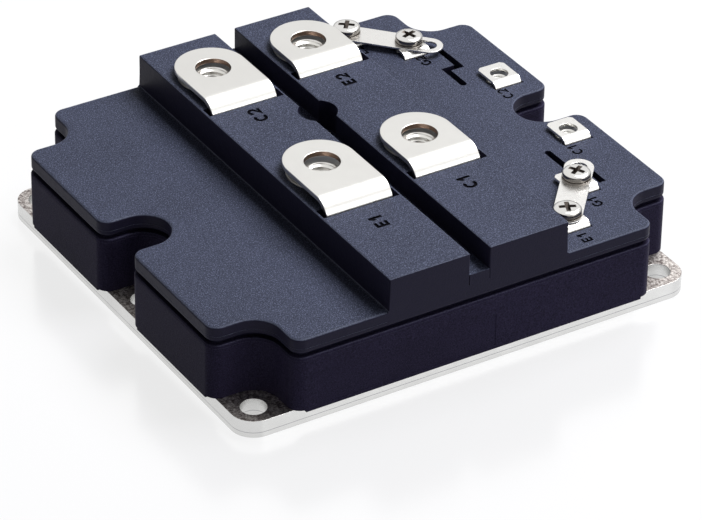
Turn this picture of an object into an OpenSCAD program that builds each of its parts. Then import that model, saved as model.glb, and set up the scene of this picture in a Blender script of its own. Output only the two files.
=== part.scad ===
// High-power IGBT module in a flat screw-down housing.
// A thick metal base plate carries four ceramic substrates with the chips.  A moulded case stands on the
// plate, a moulded lid with two raised terminal rails closes it, and folded sheet terminals come up through
// slots in the lid and lie over captive nuts.  Two links short the gate to the emitter contacts for transport.
// Millimetres, +Z up, origin at the centre of the base plate's underside.

/* [Base plate] */
// Length of the base plate across the rails
plate_x = 137; // [134:0.5:140]
// Length of the base plate along the rails
plate_y = 127; // [124:0.5:130]
// Thickness of the base plate
plate_t = 5; // [4:0.1:6]
// Distance of the mounting holes' centres from the plate's edges
hole_edge = 6.5; // [6:0.1:7.5]
// Diameter of the mounting holes
mounting_hole_d = 7; // [6:0.1:8]

/* [Case] */
// Thickness of the skirt that overlaps the plate's edge
skirt_t = 1.35; // [1:0.05:2]
// Gap between the skirt and the plate's edge
plate_gap = 0.15; // [0.05:0.05:0.4]
// How far the skirt hangs below the plate's upper face
skirt_drop = 0.9; // [0.4:0.1:2]
// Height of the case above the plate
case_h = 16; // [14:0.5:20]
// Thickness of the case walls
wall_t = 2.6; // [2:0.1:3.5]
// Radius of the screw notches about the mounting holes
notch_r = 7.3; // [6.5:0.1:8]
// Radius of the rounded corners at the notch mouths
mouth_r = 3.6; // [2.5:0.1:4]
// Height of the bevel along the case's upper edge
case_bevel = 0.5; // [0.2:0.1:1]

/* [Lid] */
// How far the lid's side stands in from the case's side
lid_inset = 0.2; // [0:0.1:0.6]
// Height of the seam groove between case and lid
seam_h = 1; // [0.6:0.1:2]
// Depth of the seam groove
seam_depth = 1.4; // [0.8:0.1:2]
// Height of the lid's rim, from the seam groove to the deck
rim_h = 4.4; // [4:0.1:6]
// Thickness of the lid's deck
deck_t = 3; // [2:0.1:3.5]
// Radius of the lid's upper edge
edge_r = 1; // [0.6:0.1:1.4]
// Radius of the lid's lower edge
lower_edge_r = 0.9; // [0.4:0.1:1.2]
// Width of the creepage slots in the deck
deck_slot_w = 2; // [1:0.1:3]

/* [Rails] */
// Width of each terminal rail
rail_w = 24; // [22.5:0.5:26]
// Height of the rails above the deck
rail_h = 9.6; // [8.5:0.1:12]
// Width of the groove between the rails
groove_w = 6; // [4:0.5:8]
// Depth of the groove between the rails
groove_depth = 6.5; // [4:0.5:8]
// Size of the bevel along the rails' edges
rail_bevel = 0.35; // [0.1:0.05:0.8]
// Size of the bevel at the rails' feet
rail_foot = 0.5; // [0.2:0.1:1]
// Diameter of the round well in the groove
well_d = 10.8; // [8:0.2:14]
// Depth of the well below the rails' tops
well_depth = 8.6; // [7:0.1:10]
// Distance of the well's centre from the case's back end
well_end = 50; // [45:0.5:55]

/* [Main terminals] */
// Width of the main terminal strip
tab_w = 20; // [18:0.5:21]
// Thickness of the main terminal strip
tab_t = 1.5; // [1:0.1:2]
// Diameter of the screw hole in a main terminal
tab_hole_d = 9.6; // [9:0.1:11]
// How far the round end's centre lies beyond the screw hole
tab_end_shift = 1; // [0:0.1:2]
// Inner radius of the terminal's fold
tab_bend_r = 4.2; // [3:0.1:4.2]
// Gap between the rail and the folded terminal
tab_rise = 1.1; // [0.5:0.1:2]
// Distance of the back terminals' screws from the case's back end
back_screw_end = 20; // [19:0.5:22]
// Distance between the front and back terminal screws
main_pitch_y = 57; // [55:0.5:59]
// Distance from screw to fold, terminal C1
reach_c1 = 14.8; // [13.5:0.1:16]
// Distance from screw to fold, terminal E1
reach_e1 = 19.3; // [17:0.1:20]
// Distance from screw to fold, terminal C2
reach_c2 = 17.7; // [15:0.1:19]
// Distance from screw to fold, terminal E2
reach_e2 = 12.9; // [12.9:0.1:14]
// Length of the solder foot inside
foot_l = 5; // [3:0.1:6]

/* [Nuts] */
// Width across flats of the M8 nuts
m8_flats = 16; // [13:0.1:17]
// Height of the M8 nuts' hexagon
m8_h = 6.3; // [5:0.1:7]
// Diameter of the flange on top of the M8 nuts
m8_flange_d = 19.2; // [18:0.1:19.4]
// Thickness of that flange
m8_flange_t = 1.2; // [0.8:0.1:2]
// How far the M8 nuts stand above the rail
m8_proud = 0.3; // [0:0.05:0.8]
// Core diameter of the M8 thread
m8_core_d = 6.65; // [6.4:0.05:6.9]
// Width across flats of the M4 nuts
m4_flats = 7; // [6.5:0.1:8]
// Height of the M4 nuts
m4_h = 3.2; // [2:0.1:3.6]
// Core diameter of the M4 thread
m4_core_d = 3.24; // [3.1:0.02:3.4]
// Gap around a nut in its pocket
pocket_gap = 0.15; // [0.05:0.05:0.3]

/* [Auxiliary terminals] */
// Width of the auxiliary terminal strip
aux_w = 8.4; // [7.5:0.1:9.5]
// Thickness of the auxiliary terminal strip
aux_t = 0.8; // [0.5:0.1:1]
// Diameter of the screw hole in an auxiliary terminal
aux_hole_d = 5; // [4.4:0.1:5.6]
// Length of the tab beyond its screw hole
aux_end = 5; // [3.8:0.1:5.4]
// Inner radius of the auxiliary terminal's fold
aux_bend_r = 1.5; // [1:0.1:1.6]
// Gap between the deck and the folded tab
aux_rise = 0.7; // [0.3:0.1:1.5]
// Distance from screw to fold, auxiliary terminals
aux_reach = 5; // [4.8:0.1:6]
// Distance of the collector contacts' screws from the case's side
aux_c_side = 9.4; // [9:0.1:10]
// Distance of the gate contacts' screws from the rail
aux_g_rail = 20.6; // [19:0.1:22]
// Distance of the emitter contacts' screws from the rail
aux_e_rail = 8.4; // [7:0.1:10]
// Distance of contact C1's screw from the side notch
aux_c1_notch = 7.9; // [7:0.1:10]
// Distance of contact C2's screw from the side notch
aux_c2_notch = 11.5; // [10:0.1:13]
// Distance of contact G1's screw from the case's front end
aux_g1_end = 26.8; // [25:0.1:28]
// Distance of contact E1's screw from the case's front end
aux_e1_end = 13; // [12:0.1:14]
// Distance of contact G2's screw from the case's back end
aux_g2_end = 20.1; // [19:0.1:22]
// Distance of contact E2's screw from the case's back end
aux_e2_end = 6.8; // [6.5:0.1:8]

/* [Shorting links] */
// Width of the shorting links
link_w = 8; // [7.5:0.1:9]
// Thickness of the shorting links
link_t = 0.6; // [0.5:0.1:1.2]
// Length of the slot at the gate end of a link
link_slot_l = 5.8; // [4.5:0.1:7]
// Diameter of the link screws' heads
head_d = 7.6; // [7:0.1:8.5]
// Height of the link screws' heads
head_h = 1.6; // [1.5:0.1:2.6]
// Outer diameter of the spring washers
spring_washer_d = 7.2; // [6.6:0.1:7.8]
// Thickness of the spring washers
spring_washer_t = 0.6; // [0.5:0.1:1.2]
// Outer diameter of the flat washers
flat_washer_d = 7.9; // [7.2:0.1:9]
// Thickness of the flat washers
flat_washer_t = 0.4; // [0.3:0.1:1]

/* [Inside] */
// Gap between the ceramic substrates
substrate_gap = 6; // [4:0.5:8]
// Gap between the substrates and the walls of the side notches
substrate_side = 3.4; // [2:0.1:6]
// Gap between the substrates and the end walls
substrate_end = 9.4; // [8:0.1:12]
// Thickness of the ceramic
ceramic_t = 1; // [0.6:0.1:1.5]
// Thickness of the copper on both faces of the ceramic
copper_t = 0.4; // [0.2:0.1:0.6]
// Gap between neighbouring chips
chip_gap = 1.9; // [1:0.1:3]
// Thickness of the chips
chip_t = 0.3; // [0.2:0.05:0.5]
// Thickness of the bond ribbons
ribbon_t = 0.3; // [0.15:0.05:0.4]
// Width of the bond ribbons
ribbon_w = 1.4; // [0.8:0.1:2]
// Distance that a bond ribbon spans
ribbon_span = 5.5; // [5:0.1:6]
// Height of the gel filling above the plate
gel_h = 9; // [8:0.1:10]
// Thickness of the gate board
board_t = 1.6; // [1:0.1:2]
// Width of the gate board's arm to the left side
board_arm_w = 18; // [16:0.5:20]
// Side of the square signal pins
pin_a = 1; // [0.6:0.1:1.2]
// Distance between two signal pins
pin_pitch = 2.5; // [2:0.1:3]

/* [Hidden] */
TERMINALS = ["c1", "e1", "c2", "e2"];
AUX = ["c1", "g1", "e1", "c2", "g2", "e2"];
QUADS = [1:4];
$fn = 64;
far = 200;                       // longer than the part, for cuts that run right out
fit = 0.1;                       // gap of a strip in the slot that guides it

// Heights of the main levels
plate_top = plate_t;
case_top = plate_top + case_h;
rim_bottom = case_top + seam_h;
deck_z = rim_bottom + rim_h;
ceiling_z = deck_z - deck_t;
rail_z = deck_z + rail_h;
m8_top = rail_z + m8_proud;
m4_top = deck_z - 0.1;
copper_top = plate_top + copper_t + ceramic_t + copper_t;
chip_top = copper_top + chip_t;
gel_top = plate_top + gel_h;

// Outline of the case
case_x = plate_x + 2 * (plate_gap + skirt_t);
case_y = plate_y + 2 * (plate_gap + skirt_t);
hole_x = plate_x / 2 - hole_edge;
hole_y = plate_y / 2 - hole_edge;
rail_x = (groove_w + rail_w) / 2;
rail_outer = groove_w / 2 + rail_w;
well_y = case_y / 2 - well_end;

// Main terminals: rail side, screw place, distance from screw to fold, extra rise, free space before the fold
// and clearance behind it
back_screw_y = case_y / 2 - back_screw_end;
front_screw_y = back_screw_y - main_pitch_y;
terminal_side = [1, -1, -1, 1];
terminal_screw_y = [front_screw_y, front_screw_y, back_screw_y, back_screw_y];
terminal_reach = [reach_c1, reach_e1, reach_c2, reach_e2];
terminal_lift = [0, 0.6, 0, 0];
terminal_room = 0.6;             // free space in the rail before the fold
terminal_back = tab_t + 2;       // how far the pocket in the rail's top reaches behind a fold's outer face
terminal_pocket_h = 5;           // depth of that pocket
terminal_pocket_side = 1.4;      // how far the pocket is wider than the strip, on each side

// Auxiliary terminals: distance from the middle line and screw place
aux_c_x = case_x / 2 - aux_c_side;
aux_g_x = rail_outer + aux_g_rail;
aux_e_x = rail_outer + aux_e_rail;
aux_x = [aux_c_x, aux_g_x, aux_e_x, aux_c_x, aux_g_x, aux_e_x];
aux_y = [-notch_r - aux_c1_notch, aux_g1_end - case_y / 2, aux_e1_end - case_y / 2,
         notch_r + aux_c2_notch, case_y / 2 - aux_g2_end, case_y / 2 - aux_e2_end];
aux_top = deck_z + aux_rise + aux_t;
aux_corner = 0.9;                // clipped corner of an auxiliary tab
aux_slot_room = 0.4;             // free space in the deck's slot on each side of a leg
boss_d = m4_flats + 5;           // bosses under the deck that hold the M4 nuts
boss_h = m4_h + 0.8;
m4_relief_d = m4_core_d + 1.2;   // blind holes for the screws' ends, below the M4 nuts
m4_relief_h = 3;
screw_l = 8;                     // length of a link screw's shank

// Substrates
substrate_x = hole_x - notch_r - wall_t - substrate_side - substrate_gap / 2;
substrate_y = case_y / 2 - wall_t - substrate_end - substrate_gap / 2;
margin = 1.2;                    // bare edge of the ceramic around the copper
copper_x = substrate_x - 2 * margin;
copper_y = substrate_y - 2 * margin;
pad_room = 3.015;                // bare pad beside a terminal's leg, where the ribbons land
pad_x = rail_x + tab_w / 2 + pad_room - substrate_gap / 2 - margin;
track_x = copper_x - pad_x - margin;
pin_room = 8.285;                // part of the outer track that the pins need
chip_pitch = copper_y / 4;
chip_a = chip_pitch - chip_gap;
chip_l = track_x - pin_room;
chip_x = 2 * margin + pad_x + 2; // distance of the chips from the substrate's inner edge
pin_x = substrate_gap / 2 + substrate_x - 3;
pin_y = board_arm_w / 2 - 2.5;
board_edge = 2;                  // how far the gate board reaches past the pins and the rail

// ---------- outline shared by case, lid, gel and gate board ----------

// Rounded corner that a notch mouth takes off, its square corner at the origin and its body in -X, -Y
module mouth_corner(r) {
    difference() {
        translate([-r, -r]) square(r + 0.01);
        translate([-r, -r]) circle(r = r);
    }
}

// Notch at the middle of a side, open towards +X
module side_notch(d) {
    r = notch_r + d;
    m = max(mouth_r - d, 0.2);
    translate([hole_x, 0]) circle(r = r);
    translate([hole_x, -r]) square([far, 2 * r]);
    for (s = [0, 1]) mirror([0, s]) translate([case_x / 2 - d, -r]) mouth_corner(m);
}

// Notch at a corner, open towards +X and +Y
module corner_notch(d) {
    r = notch_r + d;
    m = max(mouth_r - d, 0.2);
    translate([hole_x, hole_y]) circle(r = r);
    translate([hole_x, hole_y - r]) square(far);
    translate([hole_x - r, hole_y]) square(far);
    translate([case_x / 2 - d, hole_y - r]) mouth_corner(m);
    translate([hole_x - r, case_y / 2 - d]) mouth_corner(m);
}

// Outline of the housing with its six notches, moved in by d
module outline(d) {
    difference() {
        square([case_x - 2 * d, case_y - 2 * d], center = true);
        for (sx = [0, 1]) mirror([sx, 0]) {
            side_notch(d);
            for (sy = [0, 1]) mirror([0, sy]) corner_notch(d);
        }
    }
}

// Rounds to a thousandth of a millimetre, so that arcs and the lines tangent to them meet exactly
function rounded(v) = round(v * 1000) / 1000;

// Slab of the outline from z0 to z1, with rounded upper and lower edges built up in thin layers
module rounded_slab(z0, z1, d, r_top, r_bottom, layers = 4) {
    translate([0, 0, z0 + r_bottom]) linear_extrude(z1 - z0 - r_top - r_bottom) outline(d);
    for (edge = [[z1 - r_top, r_top, 1], [z0 + r_bottom, r_bottom, -1]], k = [1:layers])
        let (r = edge[1], top = rounded(r * sin(90 * k / layers)),
             inset = rounded(r * (1 - cos(90 * (k - 0.5) / layers))))
            translate([0, 0, edge[2] > 0 ? edge[0] - 0.1 : edge[0] - top])
                linear_extrude(top + 0.1) outline(d + inset);
}

// ---------- housing ----------

module base_plate() {
    color("silver") difference() {
        linear_extrude(plate_t) difference() {
            union() {
                square([plate_x - 2 * hole_edge, plate_y], center = true);
                square([plate_x, plate_y - 2 * hole_edge], center = true);
                for (sx = [-1, 1], sy = [-1, 1])
                    translate([sx * (plate_x / 2 - hole_edge), sy * (plate_y / 2 - hole_edge)]) circle(r = hole_edge);
            }
        }
        for (sx = [-1, 1], row = [-1:1])
            translate([sx * hole_x, row * hole_y, -1]) cylinder(h = plate_t + 2, d = mounting_hole_d);
    }
}

module case_frame() {
    color("#23242e") difference() {
        union() {
            translate([0, 0, plate_top - skirt_drop])
                linear_extrude(case_h + skirt_drop - case_bevel) outline(0);
            translate([0, 0, case_top - case_bevel - 0.1]) linear_extrude(case_bevel + 0.1)
                outline(rounded(case_bevel * 0.6));
        }
        translate([0, 0, plate_top - skirt_drop - 1]) linear_extrude(case_h + skirt_drop + 2) outline(wall_t);
        translate([0, 0, plate_top - skirt_drop - 1]) linear_extrude(skirt_drop + 1) {
            square([plate_x + 2 * plate_gap, plate_y + 2 * plate_gap], center = true);
            for (sx = [-1, 1], row = [-1:1])
                translate([sx * hole_x, row * hole_y]) square(2 * (notch_r + mouth_r), center = true);
        }
    }
}

// Draws a section in X and Z along the whole lid, its Y axis at height z
module along_lid(z) {
    translate([0, case_y / 2 - lid_inset, z]) rotate([90, 0, 0]) linear_extrude(case_y - 2 * lid_inset) children();
}

// Section of the lid below the rails, with the floor of the groove between them
module rail_base_section() {
    outer = rail_outer + rail_foot;
    inner = groove_w / 2;
    deck = deck_z - rim_bottom - lower_edge_r;
    groove = deck + rail_h - groove_depth;
    polygon([[-outer, 0], [outer, 0], [outer, deck], [inner, deck], [inner, groove], [-inner, groove],
             [-inner, deck], [-outer, deck]]);
}

// Section of the right-hand rail above the deck
module rail_section() {
    b = rail_bevel;
    outer = rail_outer;
    inner = groove_w / 2;
    polygon([[inner, 0], [outer + rail_foot, 0], [outer, rail_foot], [outer, rail_h - b],
             [outer - b, rail_h], [inner + b, rail_h], [inner, rail_h - b]]);
}

// Slot for a folded main terminal: a pocket at the fold and a narrow slot for the leg
module terminal_slot(i) {
    leg_y = terminal_screw_y[i] - terminal_reach[i];
    translate([terminal_side[i] * rail_x, leg_y, 0]) {
        translate([-tab_w / 2 - terminal_pocket_side, -terminal_room, rail_z - terminal_pocket_h])
            cube([tab_w + 2 * terminal_pocket_side, terminal_room + terminal_back, terminal_pocket_h + 1]);
        translate([-tab_w / 2 - fit, -fit, case_top - 1]) cube([tab_w + 2 * fit, tab_t + 2 * fit, far]);
    }
}

// Round well in the groove, which reaches into both rails
module well() {
    translate([0, well_y, rail_z - well_depth]) cylinder(h = far, d = well_d);
}

// Hexagonal pocket for a captive nut
module nut_pocket(flats, h) {
    cylinder(h = h, d = (flats + 2 * pocket_gap) / cos(30), $fn = 6);
}

// Creepage slot in the deck: two straight runs joined by a jog
module deck_slot() {
    w = deck_slot_w;
    inner = aux_g_x + 2.7;
    outer = inner + 4.3;
    jog = hole_y - 27.3;
    near = jog - 9.7;
    end = jog + 10.8;
    translate([inner - w / 2, near + w / 2]) square([w, jog - near]);
    translate([inner, near + w / 2]) circle(d = w);
    translate([inner - w / 2, jog - w / 2]) square([outer - inner + w, w]);
    translate([outer - w / 2, jog - w / 2]) square([w, end - jog + w / 2]);
}

module lid() {
    color("#2b2c38") difference() {
        union() {
            translate([0, 0, case_top]) linear_extrude(seam_h + lower_edge_r) outline(lid_inset + seam_depth);
            rounded_slab(rim_bottom, deck_z, lid_inset, edge_r, lower_edge_r);
            along_lid(rim_bottom + lower_edge_r) rail_base_section();
        }
        difference() {
            translate([0, 0, case_top - 1]) linear_extrude(ceiling_z - case_top + 1) outline(wall_t + seam_depth);
            for (i = [0:5]) translate([aux_x[i], aux_y[i], ceiling_z - boss_h]) cylinder(h = boss_h + 1, d = boss_d);
        }
        well();
        for (i = [0:3]) terminal_slot(i);
        for (i = [0:5]) {
            translate([aux_x[i] - aux_w / 2 - aux_slot_room, aux_y[i] - aux_reach - aux_slot_room, case_top - 1])
                cube([aux_w + 2 * aux_slot_room, aux_t + 2 * aux_slot_room, far]);
            translate([aux_x[i], aux_y[i], m4_top - m4_h]) nut_pocket(m4_flats, m4_h + 1);
            translate([aux_x[i], aux_y[i], m4_top - m4_h - m4_relief_h])
                cylinder(h = m4_relief_h + 1, d = m4_relief_d);
        }
        for (s = [0, 1]) mirror([0, s, 0]) translate([0, 0, ceiling_z - 1]) linear_extrude(deck_t + 2) deck_slot();
    }
}

// Rail with its pockets: each nut hangs by its flange in a round seat, with room below it for the screw's end
module terminal_rail(side) {
    color("#2b2c38") difference() {
        along_lid(deck_z) mirror([side < 0 ? 1 : 0, 0]) rail_section();
        well();
        for (i = [0:3]) if (terminal_side[i] == side) {
            terminal_slot(i);
            translate([side * rail_x, terminal_screw_y[i], m8_top - m8_flange_t])
                cylinder(h = m8_flange_t + 1, d = m8_flange_d + 2 * pocket_gap);
            translate([side * rail_x, terminal_screw_y[i], deck_z - 1])
                nut_pocket(m8_flats, m8_top - m8_flange_t - deck_z + 2);
        }
    }
}

// ---------- terminals ----------

// Side view of a folded strip in Y and Z: flat part, fold and leg, with the fold's outer face at y = 0
module strip_profile(t, bend_r, z_top, z_bottom, flat_l) {
    r = bend_r + t;
    translate([r - 0.01, z_top - t]) square([flat_l, t]);
    intersection() {
        translate([r, z_top - r]) difference() {
            circle(r = r);
            circle(r = bend_r);
        }
        translate([0, z_top - r]) square(r);
    }
    translate([0, z_bottom]) square([t, z_top - r - z_bottom + 0.01]);
}

// Places a side view across the strip's width, centred on x = 0
module across(w) {
    translate([-w / 2, 0, 0]) rotate([90, 0, 90]) linear_extrude(w) children();
}

module main_terminal(i) {
    z_top = rail_z + tab_rise + tab_t + terminal_lift[i];
    reach = terminal_reach[i];
    prong_w = tab_w * 0.3;
    shoulder_z = gel_top + 1;
    color("#d9d6cc") translate([terminal_side[i] * rail_x, terminal_screw_y[i], 0]) difference() {
        union() {
            translate([0, -reach, 0]) {
                across(tab_w) strip_profile(tab_t, tab_bend_r, z_top, shoulder_z, 1);
                for (s = [-1, 1]) translate([s * (tab_w - prong_w) / 2, 0, 0]) across(prong_w) {
                    translate([0, copper_top]) square([tab_t, shoulder_z - copper_top + 0.01]);
                    translate([0, copper_top]) square([foot_l, tab_t]);
                }
            }
            translate([0, 0, z_top - tab_t]) linear_extrude(tab_t) {
                translate([0, tab_end_shift]) intersection() {
                    circle(d = tab_w);
                    translate([-tab_w, 0]) square(2 * tab_w);
                }
                translate([-tab_w / 2, tab_bend_r + tab_t - reach])
                    square([tab_w, tab_end_shift + reach - tab_bend_r - tab_t + 0.01]);
            }
        }
        translate([0, 0, z_top - tab_t - 1]) cylinder(h = tab_t + 2, d = tab_hole_d);
    }
}

module aux_terminal(i) {
    c = aux_corner;
    w = aux_w / 2;
    front = aux_bend_r + aux_t - aux_reach;
    color("#dedbd2") translate([aux_x[i], aux_y[i], 0]) difference() {
        union() {
            translate([0, -aux_reach, 0])
                across(aux_w) strip_profile(aux_t, aux_bend_r, aux_top, gel_top + board_t, 1);
            translate([0, -aux_reach, 0])
                across(aux_w / 2) translate([0, gel_top]) square([aux_t, board_t + 0.01]);
            translate([0, 0, aux_top - aux_t]) linear_extrude(aux_t)
                polygon([[-w, front], [w, front], [w, aux_end - c], [w - c, aux_end], [c - w, aux_end],
                         [-w, aux_end - c]]);
        }
        translate([0, 0, aux_top - aux_t - 1]) cylinder(h = aux_t + 2, d = aux_hole_d);
    }
}

// ---------- nuts, links and screws ----------

// Hexagon nut with chamfered corners and a countersunk thread mouth, its top at the given height
module hex_nut(flats, h, core_d, z_top) {
    corner_d = flats / cos(30);
    chamfer = (corner_d - 0.93 * flats) / 2;
    sink = core_d * 0.13;
    translate([0, 0, z_top - h]) difference() {
        intersection() {
            cylinder(h = h, d = corner_d, $fn = 6);
            rotate_extrude() polygon([[0, 0], [corner_d / 2, 0], [corner_d / 2, h - chamfer * tan(30)],
                                      [corner_d / 2 - chamfer, h], [0, h]]);
        }
        translate([0, 0, -1]) cylinder(h = h + 2, d = core_d);
        translate([0, 0, h - sink]) cylinder(h = sink + 0.01, d1 = core_d, d2 = core_d + 2 * sink);
    }
}

// The M8 nuts carry a round flange that the terminal is clamped on
module m8_nuts() {
    color("gainsboro") for (i = [0:3])
        translate([terminal_side[i] * rail_x, terminal_screw_y[i], m8_top]) difference() {
            union() {
                translate([0, 0, -m8_flange_t]) cylinder(h = m8_flange_t, d = m8_flange_d);
                translate([0, 0, -m8_flange_t - m8_h])
                    cylinder(h = m8_h + 0.1, d = m8_flats / cos(30), $fn = 6);
            }
            translate([0, 0, -m8_flange_t - m8_h - 1]) cylinder(h = far, d = m8_core_d);
            translate([0, 0, -0.9]) cylinder(h = 0.91, d1 = m8_core_d, d2 = m8_core_d + 1.82);
        }
}

module m4_nuts() {
    color("gainsboro") for (i = [0:5])
        translate([aux_x[i], aux_y[i], 0]) hex_nut(m4_flats, m4_h, m4_core_d, m4_top);
}

// Link from an emitter contact to the gate contact beside it, with a slot at the gate end
module shorting_link(g, e) {
    run = [aux_x[g] - aux_x[e], aux_y[g] - aux_y[e]];
    length = norm(run);
    color("#dedbd2") translate([aux_x[e], aux_y[e], aux_top]) rotate([0, 0, atan2(run[1], run[0])])
        linear_extrude(link_t) difference() {
            union() {
                circle(d = link_w);
                translate([0, -link_w / 2]) square([length + link_slot_l, link_w]);
                translate([length + link_slot_l, 0]) circle(d = link_w);
            }
            circle(d = 4.4);
            translate([length, 0]) circle(d = 4.4);
            translate([length, -2.2]) square([link_slot_l, 4.4]);
            translate([length + link_slot_l, 0]) circle(d = 4.4);
        }
}

// Repeats a fastener on the four contacts that the links join
module on_link_screws() {
    for (i = [1, 2, 4, 5]) translate([aux_x[i], aux_y[i], aux_top + link_t]) children();
}

module flat_washers() {
    color("gainsboro") on_link_screws() difference() {
        cylinder(h = flat_washer_t, d = flat_washer_d);
        translate([0, 0, -1]) cylinder(h = flat_washer_t + 2, d = 4.3);
    }
}

module spring_washers() {
    color("gainsboro") on_link_screws() translate([0, 0, flat_washer_t]) difference() {
        cylinder(h = spring_washer_t, d = spring_washer_d);
        translate([0, 0, -1]) cylinder(h = spring_washer_t + 2, d = 4.3);
        rotate([0, 0, 70]) translate([0, -0.3, -1]) cube([spring_washer_d, 0.6, spring_washer_t + 2]);
    }
}

module link_screws() {
    seat = flat_washer_t + spring_washer_t;
    color("gainsboro") on_link_screws() translate([0, 0, seat]) difference() {
        union() {
            rotate_extrude() polygon([[0, 0], [head_d / 2 - 0.1, 0], [head_d / 2, 0.2],
                                      [head_d / 2, head_h - 0.7], [head_d / 2 - 0.25, head_h - 0.3],
                                      [head_d / 2 - 0.8, head_h], [0, head_h]]);
            translate([0, 0, -screw_l]) cylinder(h = screw_l + 0.1, d = m4_core_d - 0.04);
        }
        for (a = [0, 90]) rotate([0, 0, a]) translate([-2.1, -0.4, head_h - 1.1]) cube([4.2, 0.8, 2]);
    }
}

// ---------- inside ----------

// Repeats a piece over one substrate: quadrant 1 is +X +Y, then counter-clockwise
module in_quadrant(q) {
    sx = (q == 2 || q == 3) ? 1 : 0;
    sy = (q > 2) ? 1 : 0;
    mirror([sx, 0, 0]) mirror([0, sy, 0]) translate([substrate_gap / 2, substrate_gap / 2, plate_top]) children();
}

module copper_back(q) {
    color("peru") in_quadrant(q) translate([margin, margin, 0]) cube([copper_x, copper_y, copper_t]);
}

module ceramic(q) {
    color("white") in_quadrant(q) translate([0, 0, copper_t]) cube([substrate_x, substrate_y, ceramic_t]);
}

module copper_tracks(q) {
    color("peru") in_quadrant(q) translate([margin, margin, copper_t + ceramic_t]) {
        cube([pad_x, copper_y, copper_t]);
        translate([pad_x + margin, 0, 0]) cube([track_x, copper_y, copper_t]);
    }
}

// Chips stand in one row on the outer track
module chip_row(first, last) {
    for (k = [first:last]) translate([chip_x, margin + chip_gap / 2 + k * chip_pitch, 2 * copper_t + ceramic_t])
        children();
}

module igbt_chips(q) {
    color("dimgray") in_quadrant(q) chip_row(0, 2) cube([chip_l, chip_a, chip_t]);
}

module diode_chips(q) {
    color("darkgray") in_quadrant(q) chip_row(3, 3) cube([chip_l, chip_a * 0.7, chip_t]);
}

// Bond ribbons: arches from each transistor chip to the terminal pad, four to a chip
module bond_ribbons(q) {
    color("lightgray") in_quadrant(q) chip_row(0, 2) for (k = [0:3])
        translate([ribbon_span * 0.2, (k + 0.5) * chip_a / 4 + ribbon_w / 2, 0])
            rotate([90, 0, 0]) linear_extrude(ribbon_w) ribbon_profile();
}

module ribbon_profile() {
    r = ribbon_span / 2;
    translate([-r, chip_t]) intersection() {
        difference() {
            circle(r = r);
            circle(r = r - ribbon_t);
        }
        translate([-r, 0]) square([2 * r, r]);
    }
    translate([-ribbon_span, 0]) square([ribbon_t, chip_t + 0.01]);
}

module gate_board_outline() {
    intersection() {
        outline(wall_t + seam_depth + 0.5);
        union() {
            translate([rail_outer + board_edge, -far / 2]) square([far, far]);
            translate([-pin_x - board_edge, -board_arm_w / 2]) square([far, board_arm_w]);
        }
    }
}

module gate_board() {
    color("darkgreen") difference() {
        translate([0, 0, gel_top]) linear_extrude(board_t) gate_board_outline();
        for (i = [0:5]) translate([aux_x[i] - aux_w / 4 - fit, aux_y[i] - aux_reach - fit, gel_top - 1])
            cube([aux_w / 2 + 2 * fit, aux_t + 2 * fit, board_t + 2]);
    }
}

// Places of the pins that join the gate board to the outer copper tracks
module at_pins() {
    for (sx = [-1, 1], sy = [-1, 1], k = [0, 1]) translate([sx * (pin_x - pin_pitch * k), sy * pin_y, 0]) children();
}

module signal_pins() {
    color("gold") at_pins() translate([-pin_a / 2, -pin_a / 2, copper_top])
        cube([pin_a, pin_a, gel_top - copper_top]);
}

// Gel above the substrates, with a hollow over each of them and slots for the legs and pins
module gel_filling() {
    prong_w = tab_w * 0.3;
    slot = pin_a + 2 * fit;
    color("lightcyan", 0.4) difference() {
        translate([0, 0, plate_top]) linear_extrude(gel_h) outline(wall_t);
        for (q = QUADS) in_quadrant(q) translate([0, 0, -1]) cube([substrate_x, substrate_y, gel_h - 1]);
        for (i = [0:3], s = [-1, 1])
            translate([terminal_side[i] * rail_x + s * (tab_w - prong_w) / 2 - prong_w / 2 - fit,
                       terminal_screw_y[i] - terminal_reach[i] - fit, plate_top])
                cube([prong_w + 2 * fit, tab_t + 2 * fit, far]);
        at_pins() translate([-slot / 2, -slot / 2, plate_top]) cube([slot, slot, far]);
    }
}

// ---------- the part ----------

base_plate();
case_frame();
lid();
terminal_rail(-1);  // terminal_rail_left
terminal_rail(1);  // terminal_rail_right
m8_nuts();
m4_nuts();
for (i = [0:3]) main_terminal(i);
for (i = [0:5]) aux_terminal(i);
shorting_link(1, 2);  // shorting_link_front
shorting_link(4, 5);  // shorting_link_back
link_screws();
spring_washers();
flat_washers();
for (q = QUADS) copper_back(q);
for (q = QUADS) ceramic(q);
for (q = QUADS) copper_tracks(q);
for (q = QUADS) igbt_chips(q);
for (q = QUADS) diode_chips(q);
for (q = QUADS) bond_ribbons(q);
gate_board();
signal_pins();
gel_filling();
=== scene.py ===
"""Looks of a high-power IGBT module: housing, plated terminals, threads, marks, floor and studio light."""
import math
from contextlib import contextmanager

import bmesh
import bpy
from mathutils import Matrix, Vector


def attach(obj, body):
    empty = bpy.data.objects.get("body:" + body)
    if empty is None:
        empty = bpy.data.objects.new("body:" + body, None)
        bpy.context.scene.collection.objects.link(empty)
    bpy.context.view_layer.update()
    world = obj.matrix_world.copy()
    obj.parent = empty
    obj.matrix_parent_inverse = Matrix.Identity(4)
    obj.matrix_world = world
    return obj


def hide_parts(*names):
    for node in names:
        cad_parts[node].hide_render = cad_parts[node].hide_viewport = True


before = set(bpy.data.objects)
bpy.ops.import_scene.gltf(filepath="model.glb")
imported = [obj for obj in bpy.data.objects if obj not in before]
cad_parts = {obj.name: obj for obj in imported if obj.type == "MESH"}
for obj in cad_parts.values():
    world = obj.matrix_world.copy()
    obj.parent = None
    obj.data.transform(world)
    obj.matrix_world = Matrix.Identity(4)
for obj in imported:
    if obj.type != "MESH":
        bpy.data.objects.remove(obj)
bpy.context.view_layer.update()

MM = 0.001
TAU = 2 * math.pi
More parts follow.
